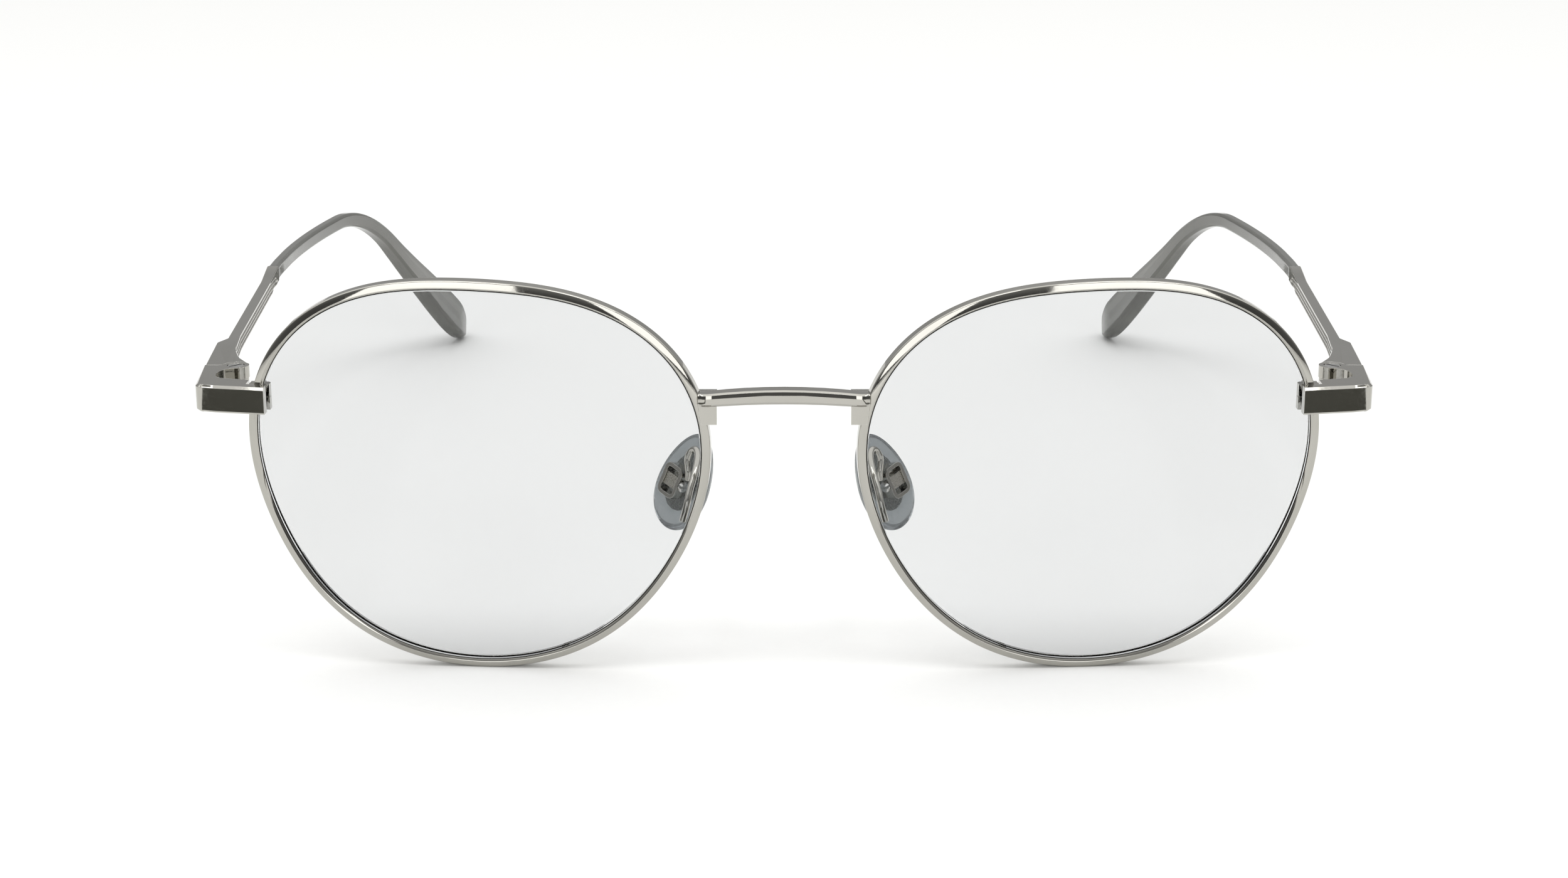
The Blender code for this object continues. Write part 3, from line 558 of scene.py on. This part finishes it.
def curve_through(points, steps):
    """Points on the smooth curve through all of the points, steps to a span."""
    run = []
    for i in range(len(points) - 1):
        a, b = points[max(i - 1, 0)], points[i]
        c, d = points[i + 1], points[min(i + 2, len(points) - 1)]
        for k in range(steps):
            t = k / steps
            run.append(0.5 * (2 * b + (c - a) * t + (2 * a - 5 * b + 4 * c - d) * t**2
                              + (3 * b - a - 3 * c + d) * t**3))
    return run + [points[-1]]


arm_end = pad_points([(BOX_MID, -BOX_WIDE - WIRE_RADIUS - BOX_GAP, 1.1)])[0]
arm_bends = [Vector(p) for p in (
    (11.95, -9.2, -16.5), (11.4, -9.0, -14.5), (11.05, -8.0, -13.0), (10.6, -6.8, -11.6),
    (10.3, -5.5, -10.5), (10.25, -4.3, -9.75), (10.5, -3.4, -9.4), (11.0, -2.75, -9.7),
    (11.5, -2.55, -10.7), arm_end + Vector((-0.1, -0.15, 0.9)), arm_end)]
route = curve_through(arm_bends, WIRE_STEPS)
turns = [2 * math.pi * k / WIRE_SIDES for k in range(WIRE_SIDES)]
for hand, side in SIDES:
    rings = []
    for i, spot in enumerate(route):
        along = (route[min(i + 1, len(route) - 1)] - route[max(i - 1, 0)]).normalized()
        across = along.cross(Vector((1.0, 0.2, 0.0))).normalized()
        other = along.cross(across)
        rings.append(seat([spot + (across * math.cos(t) + other * math.sin(t)) * WIRE_RADIUS
                           for t in turns], side))
    arm = closed_mesh(f"pad_wire_{hand}", *joined(rings))
    broken_edges(arm, 0.08)
    fitted(arm, silver, "front", f"pad_arm_{hand}")

# --- Pad boxes and pad screws --------------------------------------------------------------------
# The box is a small open cup at the end of the arm. A slotted cross screw through it holds the
# pad's lug loosely, so that the pad can rock.

for hand, _ in SIDES:
    stamped(f"pad_box_{hand}", silver, "front")
    stamped(f"pad_screw_{hand}", turned, "front")

# --- Nose pads -----------------------------------------------------------------------------------
# Each pad is clear silicone, moulded round a stamped plate whose lug stands up into the box. It is
# flat towards the box and domed towards the nose.

PAD_LONG, PAD_WIDE = 6.2, 4.0
PAD_STEPS = 64
PAD_TAPER = 0.2  # narrows the upper half and widens the lower half by up to this share
PAD_PROFILE = [  # share of the full outline, distance toward the box
    (0.45, 0.75), (0.86, 0.75), (0.97, 0.55), (1.0, 0.2), (0.97, -0.3), (0.87, -0.8),
    (0.6, -1.25), (0.3, -1.38),
]

# Silicone, moulded: a cool clear grey, softly glossy, with cloudy patches 2 mm across.
silicone, tree, shader = finish_of("clear_silicone_moulded", IOR=1.41, Transmission_Weight=0.8)
where = add(tree, "ShaderNodeTexCoord")
cloud = add(tree, "ShaderNodeTexNoise", {"Scale": 500.0, "Detail": 3.0},
            {"Vector": (where, "Object")})
gel_tone = add(tree, "ShaderNodeMix", {"data_type": "RGBA", 6: tone("A9AEB0"), 7: tone("999EA1")},
               {0: (cloud, 0)})
gloss = add(tree, "ShaderNodeMapRange", {"To Min": 0.03, "To Max": 0.12}, {"Value": (cloud, 0)})
dimple = add(tree, "ShaderNodeBump", {"Strength": 0.06, "Distance": 0.00005},
             {"Height": (cloud, 0)})
tree.links.new(gel_tone.outputs[2], shader.inputs["Base Color"])
tree.links.new(gloss.outputs[0], shader.inputs["Roughness"])
tree.links.new(dimple.outputs[0], shader.inputs["Normal"])

# Nickel silver, stamped: a soft satin grey under the silicone, with press grain 0.2 mm wide.
pressed, tree, shader = finish_of("nickel_silver_stamped", Metallic=1.0)
where = add(tree, "ShaderNodeTexCoord")
grain = add(tree, "ShaderNodeTexNoise", {"Scale": 5000.0, "Detail": 2.0},
            {"Vector": (where, "Object")})
press_tone = add(tree, "ShaderNodeMix", {"data_type": "RGBA", 6: tone("CFCCC4"), 7: tone("BDB9AF")},
                 {0: (grain, 0)})
gloss = add(tree, "ShaderNodeMapRange", {"To Min": 0.18, "To Max": 0.34}, {"Value": (grain, 0)})
tree.links.new(press_tone.outputs[2], shader.inputs["Base Color"])
tree.links.new(gloss.outputs[0], shader.inputs["Roughness"])

profile = curve_through([Vector((*p, 0.0)) for p in PAD_PROFILE[1:]], 3)
turns = [2 * math.pi * i / PAD_STEPS for i in range(PAD_STEPS)]
for hand, side in SIDES:
    rings = []
    for scale, out, _ in [Vector((*PAD_PROFILE[0], 0.0)), *profile]:
        rings.append(seat(pad_points([
            (out, scale * PAD_WIDE * (1 - PAD_TAPER * math.cos(t)) * math.sin(t),
             scale * PAD_LONG * math.cos(t)) for t in turns]), side))
    pad = closed_mesh(f"silicone_pad_{hand}", *joined(rings))
    fitted(pad, silicone, f"nose_pad_{hand}", f"nose_pad_{hand}")
    stamped(f"pad_insert_{hand}", pressed, f"nose_pad_{hand}")
